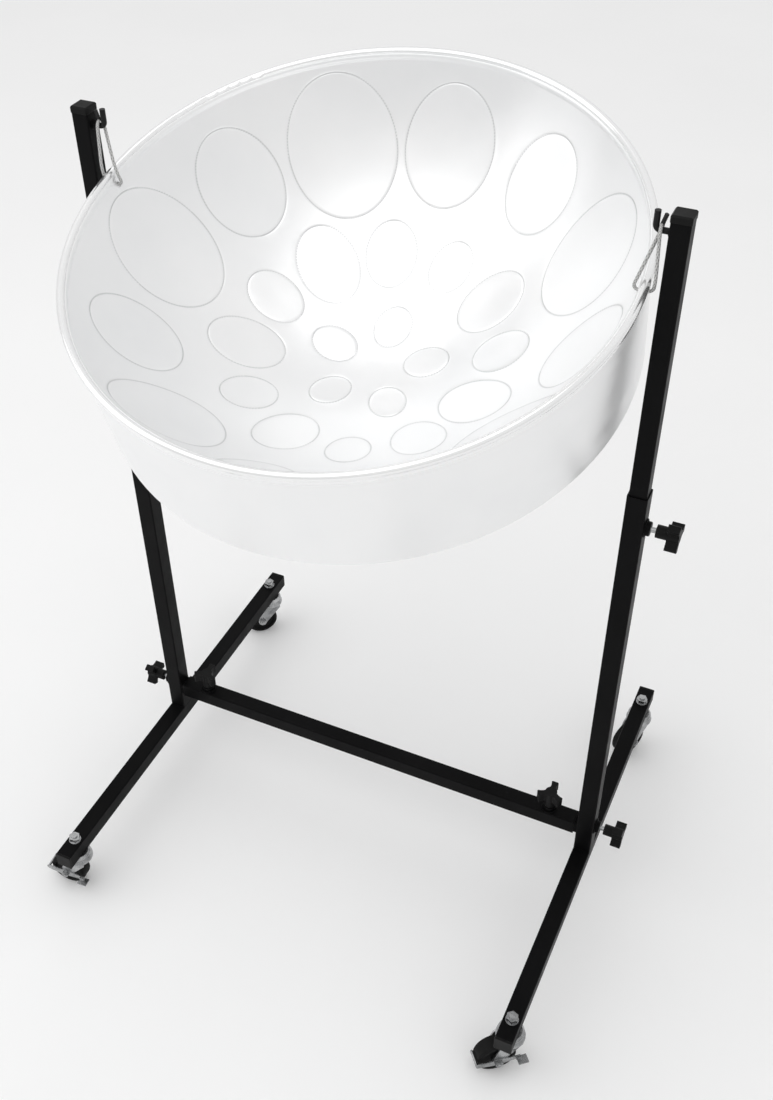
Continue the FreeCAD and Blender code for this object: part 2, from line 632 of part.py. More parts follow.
def make_rim():
    """The rolled seam: a round bead on a narrow band."""
    bead_middle = "Dims.rim_rise - Dims.bead_r"
    bead = doc.addObject("Part::Torus", "rim_bead")
    bind(bead, Radius1="Dims.rim_r - Dims.bead_r", Radius2="Dims.bead_r")
    place(bead, z=bead_middle)
    height = f"Dims.rim_drop + {bead_middle}"
    outside = cylinder("rim_outside", "Dims.seam_r", height, z="-Dims.rim_drop")
    inside = cylinder("rim_inside", "Dims.rim_r - 2 * Dims.bead_r", f"{height} + 2", z="-Dims.rim_drop - 1")
    band = cut("rim_band", outside, inside)
    keep(pan_place(fuse("rim", [bead, band])), "pan_rim")


def make_skirt():
    """The drum's side, slightly tapered, with a cord hole on each side."""
    wall = lathe("skirt_wall", [
        ("Dims.skirt_top_r - Dims.sheet_thick", "-Dims.rim_drop"),
        ("Dims.skirt_top_r", "-Dims.rim_drop"),
        ("Dims.skirt_foot_r", "-Dims.skirt_depth"),
        ("Dims.skirt_foot_r - Dims.sheet_thick", "-Dims.skirt_depth"),
    ])
    hole = cylinder("skirt_holes", "Dims.hole_r", "2 * Dims.rim_r", "-Dims.rim_r", HOLE_ALONG,
                    "-Dims.hole_depth", ALONG_X)
    keep(pan_place(cut("skirt", wall, hole)), "pan_skirt")


def bowl_radius():
    """Radius of the sphere that the bowl's playing face lies on."""
    reach = size("rim_r") - 2 * size("bead_r") - size("sheet_thick")
    drop = size("bowl_depth") - size("bowl_top")
    return (reach * reach + drop * drop) / (2 * drop)


def note_layout():
    """Each note's place and size: (polar arc, azimuth, half length, half width), in mm and degrees.

    Twelve outer and twelve middle notes run in fifths, and five inner ones in semitones. A note
    is smaller the higher it sounds, so its size comes from its rank, counted from the lowest note.
    """
    notes = []
    for step in range(12):
        rank = (5 * step) % 12
        notes.append((268, 119 - 30 * step, 78 - 2.4 * rank, 61 - 1.9 * rank))
        notes.append((144, 134 - 30 * step, 47 - 1.65 * rank, 34 - 1.0 * rank))
    for step in range(5):
        notes.append((57, 164 - 72 * step, 27 - 0.8 * step, 21.5 - 0.6 * step))
    return notes


def make_bowl():
    """The sunk playing face: a spherical dish with its flange, 29 raised notes and two cord holes."""
    radius, thick, rise = bowl_radius(), size("sheet_thick"), size("note_rise")
    centre = Vector(0, 0, radius - size("bowl_depth"))
    edge = size("rim_r") - 2 * size("bead_r")
    below = Part.makeCylinder(edge, size("bowl_depth") + 10, Vector(0, 0, -size("bowl_depth") - 10 - size("bowl_top")))

    def ball(sphere_radius):
        return Part.makeSphere(sphere_radius, centre)

    dish = ball(radius + thick).cut(ball(radius)).common(below)
    flange = Part.makeCylinder(edge, size("bowl_top") - 2, Vector(0, 0, -size("bowl_top")))
    flange = flange.cut(Part.makeCylinder(edge - thick, size("bowl_top"), Vector(0, 0, -size("bowl_top") - 1)))
    skin = ball(radius + thick / 2).cut(ball(radius - rise))
    pads = []
    for arc, azimuth, half_length, half_width in note_layout():
        polar = math.degrees(arc / radius)
        ellipse = Part.Ellipse(Vector(0, 0, 0), half_length, half_width)
        prism = Part.Face(Part.Wire(ellipse.toShape())).extrude(Vector(0, 0, 60))
        prism.Placement = Placement(centre, Rotation(Z_AXIS, azimuth) * Rotation(Y_AXIS, 180 - polar)) * Placement(
            Vector(0, 0, radius - 40), Rotation(Z_AXIS, 0))
        pads.append(skin.common(prism))
    holes = Part.makeCylinder(size("hole_r"), 2 * edge, Vector(-edge, hole_along(), -size("hole_depth")), X_AXIS)
    bowl = doc.addObject("Part::Feature", "bowl")
    bowl.Shape = dish.fuse([flange] + pads).cut(holes)
    keep(pan_place(bowl), "pan_bowl")


# ---- The cord loops -------------------------------------------------------------------------
def cord_around_hook():
    """Radius that the cord's middle makes about the axis of a hook's seat."""
    return size("hook_wire_r") + size("cord_r") + size("seat_gap")


def over_hook(near, far):
    """Three corner points of a cord drawn tight over the hook, between a point of each leg.

    All are (y, z) pairs measured from the axis of the hook's seat. Arcs of the circle that the
    cord's middle makes about the hook fit the three corners, each turning by the same angle.
    """
    around = cord_around_hook()
    touches = []
    for (y, z), side in ((near, -1), (far, 1)):
        touches.append(math.atan2(z, y) + side * math.acos(around / math.hypot(y, z)))
    first, last = touches[0] + 2 * math.pi, touches[1]
    reach = around / math.cos((first - last) / 6)
    angles = [first - (first - last) * share for share in (1 / 6, 1 / 2, 5 / 6)]
    return [(reach * math.cos(angle), reach * math.sin(angle)) for angle in angles]


def loop_leg(which, side):
    """Corner points of one leg of the right-hand loop: between the sheets, elbow and shoulder."""
    along, depth = hole_along(), size("hole_depth")
    lean = (size("hole_y") - side * cord_around_hook()) * size("leg_lean_share")
    places = (
        (size("splice_r"), along, -depth),
        (size(f"{which}_elbow_r"), along, -depth),
        (size(f"{which}_shoulder_r"), along - lean, size(f"{which}_shoulder_rise")),
    )
    return [pan_point(math.sqrt(reach ** 2 - y ** 2), y, z) for reach, y, z in places]


def loop_route(side):
    """Corner points of one loop: out through the skirt, over the hook, down inside the bowl and out
    through it, to where the loop began."""
    outer, inner = loop_leg("outer", -1), loop_leg("inner", 1)
    seat = Vector(size("cord_x"), size("upright_y"), size("hook_z"))
    ends = [(leg[-1].y - seat.y, leg[-1].z - seat.z) for leg in (outer, inner)]
    over = [seat + Vector(0, y, z) for y, z in over_hook(*ends)]
    points = outer + over + inner[::-1]
    points[-1] = points[-1] - Vector(size("splice_gap"), 0, 0)
    return [Vector(side * point.x, point.y, point.z) for point in points]


def rounded_path(points, hook_corners):
    """Straight runs joined by tangent arcs. Over the hook the arcs meet and leave no run."""
    edges, radii, start = [], [], points[0]
    for index in range(1, len(points) - 1):
        before, corner, after = points[index - 1], points[index], points[index + 1]
        back, ahead = (before - corner), (after - corner)
        trim = (0.5 if index in hook_corners else 0.45) * min(back.Length, ahead.Length)
        back.normalize()
        ahead.normalize()
        half_turn = (math.pi - back.getAngle(ahead)) / 2
        radii.append(trim / math.tan(half_turn))
        first, last = corner + back * trim, corner + ahead * trim
        inward = (back + ahead).normalize()
        distance = radii[-1] / math.cos(half_turn) - radii[-1]
        if (first - start).Length > 1e-6:
            edges.append(Part.LineSegment(start, first).toShape())
        edges.append(Part.Arc(first, corner + inward * distance, last).toShape())
        start = last
    edges.append(Part.LineSegment(start, points[-1]).toShape())
    return Part.Wire(edges), radii


def make_loops():
    """Each loop straddles the rim, and a ribbed sleeve stands up from its top, leaning outboard."""
    for label, side in SIDES:
        points = loop_route(side)
        middle = len(points) // 2
        path, radii = rounded_path(points, (middle - 1, middle, middle + 1))
        cord = swept(f"loop_{label}_cord", path, "Dims.cord_r", points[0], points[1] - points[0])
        keep(cord, f"cord_loop_{label}")
        print(f"cord_loop_{label}: length {path.Length:.1f}, radii", [round(radius, 1) for radius in radii])
        print("   route", [tuple(round(number, 1) for number in point) for point in points])
        sleeve = bind(doc.addObject("Part::Cylinder", f"sleeve_{label}"), Radius="Dims.sleeve_r",
                      Height="Dims.sleeve_length")
        foot = Vector(side * size("cord_x"), size("upright_y"), size("hook_z") + cord_around_hook())
        lean = Vector(side * size("sleeve_lean"), 0, size("sleeve_length"))
        sleeve.Placement = Placement(foot, Rotation(Z_AXIS, lean))
        keep(sleeve, f"cord_sleeve_{label}")


def check_and_export():
    """Stop on any failed object, then write one file for each sub-part."""
    doc.recompute()
    for thing in doc.Objects:
        if any(state in ("Invalid", "Error") for state in thing.State):
            raise RuntimeError(f"{thing.Name} failed: {thing.State}")
    os.makedirs("parts", exist_ok=True)
    for piece in sub_parts:
        shape = piece.Shape
        if shape.isNull() or not shape.isValid() or not shape.Solids:
            raise RuntimeError(f"{piece.Label} has no valid solid")
        shape.exportStep(os.path.join("parts", piece.Label + ".step"))
    print(len(sub_parts), "sub-parts written")


make_crossbar()
for side_name, side_sign in SIDES:
    make_side_frame(side_name, side_sign)
    make_post(side_name, side_sign)
make_upright_bosses()
make_foot_plugs()
for knob in knob_positions():
    make_knob(*knob)
make_casters()
make_rim()
make_skirt()
make_bowl()
make_loops()
check_and_export()
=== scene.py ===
import json
import math

import bpy
from mathutils import Matrix, Vector
from mathutils.geometry import delaunay_2d_cdt

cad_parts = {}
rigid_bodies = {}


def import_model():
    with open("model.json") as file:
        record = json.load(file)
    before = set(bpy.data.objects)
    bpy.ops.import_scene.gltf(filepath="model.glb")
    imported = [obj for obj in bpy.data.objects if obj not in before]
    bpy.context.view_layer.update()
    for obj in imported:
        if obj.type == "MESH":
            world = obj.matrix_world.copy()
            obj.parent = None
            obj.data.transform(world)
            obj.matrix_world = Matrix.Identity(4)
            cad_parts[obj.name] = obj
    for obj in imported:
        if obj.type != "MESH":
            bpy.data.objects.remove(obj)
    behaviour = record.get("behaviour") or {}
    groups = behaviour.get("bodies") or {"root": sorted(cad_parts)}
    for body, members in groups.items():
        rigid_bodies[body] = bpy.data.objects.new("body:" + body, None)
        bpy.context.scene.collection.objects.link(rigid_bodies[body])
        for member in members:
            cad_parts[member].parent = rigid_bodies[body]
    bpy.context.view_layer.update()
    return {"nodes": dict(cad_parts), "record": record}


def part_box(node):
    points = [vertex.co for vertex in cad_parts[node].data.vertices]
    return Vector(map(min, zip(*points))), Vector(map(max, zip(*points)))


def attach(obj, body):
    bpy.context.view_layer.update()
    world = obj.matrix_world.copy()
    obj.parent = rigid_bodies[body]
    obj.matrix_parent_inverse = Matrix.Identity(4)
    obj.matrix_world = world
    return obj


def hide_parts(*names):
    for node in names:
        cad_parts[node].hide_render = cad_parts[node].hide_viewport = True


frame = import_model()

nodes = frame["nodes"]
# Blender's own starting objects aren't part of the scene.
for leftover in [o for o in bpy.data.objects if o.name in ("Cube", "Light", "Camera")]:
    bpy.data.objects.remove(leftover)
scene = bpy.context.scene
MM = 0.001                        # a millimetre in metres
SIDES = (("left", -1), ("right", 1))


# ---- Camera ---------------------------------------------------------------------------------
def make_camera():
    """A view from the front right, looking down into the bowl."""
    yaw, pitch, roll = 0.4613, 0.7230, -0.0290
    lens = bpy.data.cameras.new("camera")
    lens.lens, lens.sensor_width = 41.79, 36
    lens.shift_x, lens.shift_y = 0.0276, 0.0059
    camera = bpy.data.objects.new("camera", lens)
    turn = (Matrix.Rotation(yaw, 4, "Z") @ Matrix.Rotation(math.pi / 2 - pitch, 4, "X")
            @ Matrix.Rotation(roll, 4, "Z"))
    camera.matrix_world = Matrix.Translation((0.49969, -1.02752, 1.4989)) @ turn
    scene.collection.objects.link(camera)
    scene.camera = camera


make_camera()

# ---- Cord loops -----------------------------------------------------------------------------
CORD_DIAMETER = 3.3 * MM
# Corner points of the right-hand loop in mm: out through the skirt, up outside the rim, over the
# hook, down inside the bowl and back through it to the splice between the two sheets.
LOOP_ROUTE = [
    (283.6, 5.1, 908.6), (293.0, 5.1, 908.6), (295.1, 0.0, 922.3), (293.3, 0.6, 954.0),
    (292.3, 0.7, 973.5), (292.3, 6.8, 976.4), (292.3, 12.1, 972.2), (287.4, 8.2, 955.0),
    (278.6, 1.8, 924.9), (273.4, 5.1, 908.6), (283.5, 5.1, 908.6),
]


def linked(name, data):
    obj = bpy.data.objects.new(name, data)
    scene.collection.objects.link(obj)
    return obj


def make_cord(label, side):
    """One loop as a smooth round cord along the route, mirrored for the left side."""
    curve = bpy.data.curves.new(f"loop_{label}", "CURVE")
    curve.dimensions = "3D"
    curve.bevel_depth, curve.bevel_resolution = CORD_DIAMETER / 2, 6
    curve.resolution_u = 16
    spline = curve.splines.new("NURBS")
    spline.points.add(len(LOOP_ROUTE) - 1)
    for point, (x, y, z) in zip(spline.points, LOOP_ROUTE):
        point.co = (side * x * MM, y * MM, z * MM, 1)
    spline.order_u, spline.use_endpoint_u = 3, True
    return linked(f"loop_{label}", curve)


def mesh_from(name, verts, faces, smooth=True):
    mesh = bpy.data.meshes.new(name)
    mesh.from_pydata([tuple(v) for v in verts], [], faces)
    mesh.update()
    for face in mesh.polygons:
        face.use_smooth = smooth
    return linked(name, mesh)


def lathe(name, profile, segments, place):
    """Turns (radius, height) points about Z and puts the result where place says."""
    verts, faces = [], []
    for radius, height in profile:
        for step in range(segments):
            angle = 2 * math.pi * step / segments
            verts.append(place @ Vector((radius * math.cos(angle), radius * math.sin(angle), height)))
    for ring in range(len(profile) - 1):
        for step in range(segments):
            after = (step + 1) % segments
            low, high = ring * segments, (ring + 1) * segments
            faces.append((low + step, low + after, high + after, high + step))
    faces.append(tuple(reversed(range(segments))))
    faces.append(tuple((len(profile) - 1) * segments + step for step in range(segments)))
    return mesh_from(name, verts, faces)


def make_sleeve(label, side):
    """A moulded sleeve with six ribs that binds the loop where it turns over its hook."""
    low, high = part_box(f"cord_sleeve_{label}")
    foot_x = (low.x if side > 0 else high.x) + side * 2.0 * MM
    foot = Vector((foot_x, (low.y + high.y) / 2, low.z + 0.6 * MM))
    lean = Vector((side * 3.4, 0, 12.0)).normalized()
    ribs, pitch = 6, 1.9 * MM
    profile = [(1.2 * MM, 0.0)]
    for rib in range(ribs):
        base = rib * pitch
        profile += [(1.75 * MM, base + 0.15 * MM), (2.08 * MM, base + 0.5 * MM),
                    (2.1 * MM, base + 1.0 * MM), (2.02 * MM, base + 1.4 * MM), (1.7 * MM, base + 1.75 * MM)]
    profile.append((1.1 * MM, ribs * pitch))
    place = Matrix.Translation(foot) @ lean.to_track_quat("Z", "Y").to_matrix().to_4x4()
    return lathe(f"sleeve_{label}", profile, 28, place)


# ---- Materials ------------------------------------------------------------------------------
def new_material(name):
    material = bpy.data.materials.new(name)
    material.use_nodes = True
    shader = material.node_tree.nodes["Principled BSDF"]
    return material, material.node_tree, shader


def add(tree, kind, **settings):
    node = tree.nodes.new(kind)
    for key, value in settings.items():
        if key in node.inputs:
            node.inputs[key].default_value = value
        else:
            setattr(node, key, value)
    return node


def noise(tree, coords, scale, detail=4.0, stretch=None):
    """Noise at scale cells a metre, stretched along an axis where stretch says so."""
    source = coords
    if stretch:
        mapping = add(tree, "ShaderNodeMapping")
        mapping.inputs["Scale"].default_value = stretch
        tree.links.new(coords, mapping.inputs["Vector"])
        source = mapping.outputs["Vector"]
    texture = add(tree, "ShaderNodeTexNoise", Scale=scale, Detail=detail)
    tree.links.new(source, texture.inputs["Vector"])
    return texture.outputs["Fac"]


def spread(tree, fac, low, high, start=0.3, end=0.7):
    """Maps the part of a noise between start and end to the span from low to high."""
    node = add(tree, "ShaderNodeMapRange")
    for key, number in (("From Min", start), ("From Max", end), ("To Min", low), ("To Max", high)):
        node.inputs[key].default_value = number
    tree.links.new(fac, node.inputs["Value"])
    return node.outputs["Result"]


def tint(tree, fac, dark, light):
    """A colour between dark and light."""
    ramp = add(tree, "ShaderNodeMix", data_type="RGBA")
    ramp.inputs[6].default_value = (*dark, 1)
    ramp.inputs[7].default_value = (*light, 1)
    tree.links.new(fac, ramp.inputs[0])
    return ramp.outputs[2]


def towards(tree, colour, fac, other):
    """The colour, turned into the other one by fac."""
    mix = add(tree, "ShaderNodeMix", data_type="RGBA")
    tree.links.new(fac, mix.inputs[0])
    tree.links.new(colour, mix.inputs[6])
    mix.inputs[7].default_value = (*other, 1)
    return mix.outputs[2]


def bump(tree, height, distance, strength=1.0, under=None):
    """The normal of a surface raised by height times distance, over the normal under, if any."""
    node = add(tree, "ShaderNodeBump", Strength=strength, Distance=distance)
    tree.links.new(height, node.inputs["Height"])
    if under is not None:
        tree.links.new(under, node.inputs["Normal"])
    return node.outputs["Normal"]


def worn_edge(tree, radius):
    """1 along the outside edges within radius, 0 on the flats, and the normal rounded over them."""
    rounded = add(tree, "ShaderNodeBevel", Radius=radius)
    rounded.samples = 4
    plain = add(tree, "ShaderNodeNewGeometry")
    dot = add(tree, "ShaderNodeVectorMath", operation="DOT_PRODUCT")
    tree.links.new(rounded.outputs["Normal"], dot.inputs[0])
    tree.links.new(plain.outputs["Normal"], dot.inputs[1])
    return spread(tree, dot.outputs["Value"], 1.0, 0.0, 0.80, 0.99), rounded.outputs["Normal"]


def coated(name, dark, light, roughness, mottle, grain, grain_depth, wear, edge,
           metallic=0.0, shine=0.5):
    """A surface with mottled colour and gloss, a fine grain and rounded edges that show wear.

    Mottle and grain are in noise cells a metre, and edge is the radius that is rounded and worn.
    """
    material, tree, shader = new_material(name)
    coords = add(tree, "ShaderNodeTexCoord").outputs["Object"]
    patches = noise(tree, coords, mottle, 5.0)
    colour = tint(tree, spread(tree, patches, 0, 1), dark, light)
    edges, rounded = worn_edge(tree, edge)
    scuffs = spread(tree, noise(tree, coords, 320, 6.0), 0, 1, 0.42, 0.62)
    worn = add(tree, "ShaderNodeMath", operation="MULTIPLY")
    tree.links.new(edges, worn.inputs[0])
    tree.links.new(scuffs, worn.inputs[1])
    tree.links.new(towards(tree, colour, worn.outputs[0], wear), shader.inputs["Base Color"])
    gloss = noise(tree, coords, mottle * 3.1, 6.0)
    tree.links.new(spread(tree, gloss, *roughness), shader.inputs["Roughness"])
    fine = noise(tree, coords, grain, 3.0)
    tree.links.new(bump(tree, fine, grain_depth, 0.6, rounded), shader.inputs["Normal"])
    shader.inputs["Metallic"].default_value = metallic
    shader.inputs["Specular IOR Level"].default_value = shine
    return material


# Grey painted into the bowl's punched grooves: painted shade.
GROOVE_SHADE_GREY = (0.40, 0.405, 0.41)


def chrome(name, metallic, roughness, brushed=None, dented=0.0, groove_shade=False):
    """Bright chrome over drum steel: wiping marks, a little haze and, on the bowl, hammer dents and painted
    shade in the punched grooves.
    """
    material, tree, shader = new_material(name)
    coords = add(tree, "ShaderNodeTexCoord").outputs["Object"]
    haze = noise(tree, coords, 6.0, 5.0)
    colour = tint(tree, spread(tree, haze, 0, 1), (0.91, 0.915, 0.92), (0.97, 0.97, 0.97))
    if groove_shade:
        groove = add(tree, "ShaderNodeAttribute", attribute_name="groove").outputs["Fac"]
        # Darker grey towards the bottom of each groove: painted shade in the grooves.
        colour = towards(tree, colour, spread(tree, groove, 0, 0.75, 0.25, 1.0), GROOVE_SHADE_GREY)
    tree.links.new(colour, shader.inputs["Base Color"])
    marks = noise(tree, coords, 18.0, 2.0, brushed)
    tree.links.new(spread(tree, marks, *roughness), shader.inputs["Roughness"])
    if dented:
        dents = bump(tree, noise(tree, coords, 34.0, 2.0), 0.5 * MM, dented)
        tree.links.new(dents, shader.inputs["Normal"])
    shader.inputs["Metallic"].default_value = metallic
    shader.inputs["Specular IOR Level"].default_value = 0.8
    return material


def braided(name):
    """A pale braid: two sets of strands that cross, worked out round and along the cord, with painted shade
    in the gaps between strands.
    """
    material, tree, shader = new_material(name)
    uv = add(tree, "ShaderNodeTexCoord").outputs["UV"]
    parts = add(tree, "ShaderNodeSeparateXYZ")
    tree.links.new(uv, parts.inputs[0])

    def strands(way):
        along = add(tree, "ShaderNodeMath", operation="MULTIPLY")
        along.inputs[1].default_value = 2 * math.pi * 46
        tree.links.new(parts.outputs["X"], along.inputs[0])
        around = add(tree, "ShaderNodeMath", operation="MULTIPLY_ADD")
        around.inputs[1].default_value = way * 2 * math.pi * 4
        tree.links.new(parts.outputs["Y"], around.inputs[0])
        tree.links.new(along.outputs[0], around.inputs[2])
        wave = add(tree, "ShaderNodeMath", operation="SINE")
        tree.links.new(around.outputs[0], wave.inputs[0])
        return wave.outputs[0]

    crossing = add(tree, "ShaderNodeMath", operation="MAXIMUM")
    tree.links.new(strands(1), crossing.inputs[0])
    tree.links.new(strands(-1), crossing.inputs[1])
    height = spread(tree, crossing.outputs[0], 0, 1, -0.6, 1.0)
    # Low parts of the braid are painted dark and high parts pale: painted shade between the strands.
    tree.links.new(tint(tree, height, (0.20, 0.20, 0.20), (0.62, 0.62, 0.61)), shader.inputs["Base Color"])
    tree.links.new(bump(tree, height, 0.25 * MM, 0.8), shader.inputs["Normal"])
    shader.inputs["Roughness"].default_value = 0.7
    shader.inputs["Sheen Weight"].default_value = 0.3
    return material


finishes = {
    "black_powder_coat": coated(
        "powder_coat", (0.0020, 0.0020, 0.0022), (0.0045, 0.0045, 0.0048), roughness=(0.36, 0.50),
        mottle=9.0, grain=2600.0, grain_depth=0.05 * MM, wear=(0.022, 0.022, 0.022), edge=0.9 * MM,
        shine=0.06),
    "black_plastic": coated(
        "moulded_plastic", (0.003, 0.003, 0.003), (0.007, 0.007, 0.007), roughness=(0.40, 0.54),
        mottle=14.0, grain=1900.0, grain_depth=0.06 * MM, wear=(0.03, 0.03, 0.03), edge=0.8 * MM,
        shine=0.12),
    "black_wheel_rubber": coated(
        "wheel_tread", (0.004, 0.004, 0.004), (0.009, 0.009, 0.009), roughness=(0.5, 0.72),
        mottle=24.0, grain=1400.0, grain_depth=0.08 * MM, wear=(0.03, 0.03, 0.028), edge=0.6 * MM,
        shine=0.12),
    "zinc_plate": coated(
        "zinc", (0.22, 0.225, 0.23), (0.52, 0.525, 0.53), roughness=(0.14, 0.34),
        mottle=60.0, grain=1500.0, grain_depth=0.02 * MM, wear=(0.60, 0.60, 0.59), edge=0.3 * MM,
        metallic=0.95),
    "hook_black": coated(
        "black_oxide", (0.006, 0.006, 0.0065), (0.012, 0.012, 0.0125), roughness=(0.28, 0.42),
        mottle=40.0, grain=1800.0, grain_depth=0.03 * MM, wear=(0.08, 0.08, 0.08), edge=0.3 * MM,
        metallic=0.2, shine=0.2),
    "dark_sleeve": coated(
        "sleeve_rubber", (0.014, 0.014, 0.014), (0.03, 0.03, 0.03), roughness=(0.45, 0.6),
        mottle=200.0, grain=3000.0, grain_depth=0.03 * MM, wear=(0.06, 0.06, 0.06), edge=0.2 * MM,
        shine=0.25),
    "chrome_plate": chrome("rim_chrome", 0.85, (0.12, 0.22)),
    "grey_cord": braided("braid"),
}
# Roughness under about 0.28 leaves dark specks on these two in a render with few samples.
bowl_chrome = chrome("bowl_chrome", 0.80, (0.28, 0.37), dented=0.28, groove_shade=True)
skirt_chrome = chrome("skirt_chrome", 0.62, (0.29, 0.40), brushed=(1.0, 1.0, 3.0))


def paint(obj, material):
    """Gives an object that material alone."""
    obj.data.materials.clear()
    obj.data.materials.append(material)


def add_piece(obj, body, slot, *replaced):
    """Gives a piece its finish and its body, and hides the CAD nodes that it stands for."""
    paint(obj, finishes[slot])
    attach(obj, body)
    if replaced:
        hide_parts(*replaced)
    return obj


for label, side in SIDES:
    cord = add_piece(make_cord(label, side), "pan", "grey_cord", f"cord_loop_{label}")
    sleeve = add_piece(make_sleeve(label, side), "pan", "dark_sleeve", f"cord_sleeve_{label}")

# ---- The bowl -------------------------------------------------------------------------------
# Everything about the bowl is in the rim's own frame: its centre is the middle of the rim plane,
# Z is the rim's axis and X is the axis that the pan swings about.
RIM_CENTRE = Vector((0, -16.95, 916.2)) * MM
TILT = math.radians(16.5)
BOWL_EDGE_R = 282.3 * MM          # where the bowl meets its flange
BOWL_TOP = 9.0 * MM               # that edge, below the rim plane
BOWL_DEPTH = 190.0 * MM
FLANGE_TOP = 2.0 * MM             # top of the flange, below the rim plane
SHEET = 1.2 * MM
DROP = BOWL_DEPTH - BOWL_TOP
SPHERE_R = (BOWL_EDGE_R ** 2 + DROP ** 2) / (2 * DROP)
SPHERE_Z = SPHERE_R - BOWL_DEPTH
EDGE_ARC = SPHERE_R * math.asin(BOWL_EDGE_R / SPHERE_R)
PAN = Matrix.Translation(RIM_CENTRE) @ Matrix.Rotation(TILT, 4, "X")
HOLE_R = 2.3 * MM
HOLE_DEPTH = 13.5 * MM
HOLE_BEHIND = 22.0 * MM           # the holes' level distance behind the rim's centre
HOLE_ALONG = (HOLE_BEHIND - HOLE_DEPTH * math.sin(TILT)) / math.cos(TILT)
NOTE_RISE = 0.8 * MM
GROOVE_DEPTH = 0.55 * MM
GROOVE_HALF = 1.5 * MM            # half the groove's width
MESH_STEP = 7.0 * MM              # between mesh points away from the grooves
OUTLINE_GAPS = (-3.4, -2.2, -1.5, -0.75, 0.0, 0.75, 1.5, 2.6)     # rings off an outline, mm


def note_layout():
    """Each note's (arc from the pole, azimuth, half length, half width), largest for the lowest note."""
    notes = []
    for step in range(12):
        rank = (5 * step) % 12
        notes.append((268, 119 - 30 * step, 78 - 2.4 * rank, 61 - 1.9 * rank))
        notes.append((144, 134 - 30 * step, 47 - 1.65 * rank, 34 - 1.0 * rank))
    for step in range(5):
        notes.append((57, 164 - 72 * step, 27 - 0.8 * step, 21.5 - 0.6 * step))
    return [(arc * MM, math.radians(azimuth), long * MM, wide * MM)
            for arc, azimuth, long, wide in notes]


def note_frame(arc, azimuth):
    """Axes of a note: along the meridian, across it, and out of the bowl's back."""
    polar = arc / SPHERE_R
    rise, reach = math.sin(polar), math.cos(polar)
    along = Vector((reach * math.cos(azimuth), reach * math.sin(azimuth), rise))
    out = Vector((rise * math.cos(azimuth), rise * math.sin(azimuth), -reach))
    return along, out.cross(along), out


NOTES = [(*note_frame(arc, azimuth), long, wide) for arc, azimuth, long, wide in note_layout()]


def to_map(direction):
    """A direction from the sphere's centre as a point of the bowl's flat map: arc from the pole, azimuth."""
    arc = SPHERE_R * math.acos(max(-1, min(1, -direction.z)))
    flat = Vector((direction.x, direction.y))
    if flat.length < 1e-9:
        return Vector((0, 0))
    return flat.normalized() * arc


def from_map(point):
    """The direction from the sphere's centre that a point of the flat map stands for."""
    arc = min(point.length, EDGE_ARC)
    if arc < 1e-9:
        return Vector((0, 0, -1))
    polar, way = arc / SPHERE_R, point.normalized()
    return Vector((math.sin(polar) * way.x, math.sin(polar) * way.y, -math.cos(polar)))


def on_note(direction, note):
    """(share of the way to the note's outline, distance outside that outline) of a direction."""
    along, across, out, long, wide = note
    if direction.dot(out) < 0.5:        # over 60 degrees away, so well outside
        return 9.0, 1.0
    x, y = direction.dot(along) * SPHERE_R, direction.dot(across) * SPHERE_R
    share = math.hypot(x / long, y / wide)
    return share, (math.hypot(x, y) * (1 - 1 / share) if share > 1e-6 else -wide)


def note_relief(direction):
    """(height of the playing face proud of the sphere, how far into a groove it is, from 0 to 1)."""
    height = groove = 0.0
    for note in NOTES:
        share, outside = on_note(direction, note)
        if share < 1.0:
            height += NOTE_RISE * (1 - share ** 6) * (0.75 + 0.25 * (1 - share ** 2))
        if abs(outside) < GROOVE_HALF:
            groove = max(groove, 0.5 * (1 + math.cos(math.pi * outside / GROOVE_HALF)))
    return height - GROOVE_DEPTH * groove, groove


def note_points():
    """Map points in rings that follow each note's outline, closest together in its groove."""
    points = []
    for along, across, out, long, wide in NOTES:
        rings = [(long + gap * MM, wide + gap * MM, 3.0 * MM) for gap in OUTLINE_GAPS]
        share = (wide + OUTLINE_GAPS[0] * MM) / wide
        while share > 0.18:
            share -= MESH_STEP / wide
            if share > 0.05:
                rings.append((long * share, wide * share, 8.0 * MM))
        for half_long, half_wide, gap in rings:
            count = max(8, round(math.pi * (half_long + half_wide) / gap))
            for step in range(count):
                angle = 2 * math.pi * step / count
                x, y = half_long * math.cos(angle), half_wide * math.sin(angle)
                direction = along * x + across * y + out * math.sqrt(SPHERE_R ** 2 - x * x - y * y)
                points.append(to_map(direction.normalized()))
        points.append(to_map(out))
    return points


def hole_ring(side, radius, count=20):
    """Map points round a cord hole, which runs along X through the bowl."""
    points = []
    for step in range(count):
        angle = 2 * math.pi * step / count
        y = HOLE_ALONG + radius * math.cos(angle)
        z = -HOLE_DEPTH + radius * math.sin(angle) - SPHERE_Z
        x = side * math.sqrt(SPHERE_R ** 2 - y * y - z * z)
        points.append(to_map(Vector((x, y, z)).normalized()))
    return points


def background_points():
    """Map points between the notes, in rings, and the rings at the bowl's edge and flange."""
    points = []
    for ring in range(1, 50):
        arc = ring * MESH_STEP
        if arc > EDGE_ARC - 4 * MM:
            break
        count = max(6, round(2 * math.pi * SPHERE_R * math.sin(arc / SPHERE_R) / MESH_STEP))
        for step in range(count):
            angle = 2 * math.pi * (step + 0.5 * (ring % 2)) / count
            point = Vector((arc * math.cos(angle), arc * math.sin(angle)))
            direction = from_map(point)
            if all(on_note(direction, note)[1] > 5 * MM for note in NOTES):
                points.append(point)
    for arc in (EDGE_ARC - 2 * MM, EDGE_ARC - 0.7 * MM, EDGE_ARC, EDGE_ARC + 1.2 * MM, EDGE_ARC + 7 * MM):
        for step in range(360):
            angle = math.radians(step)
            points.append(Vector((arc * math.cos(angle), arc * math.sin(angle))))
    return points


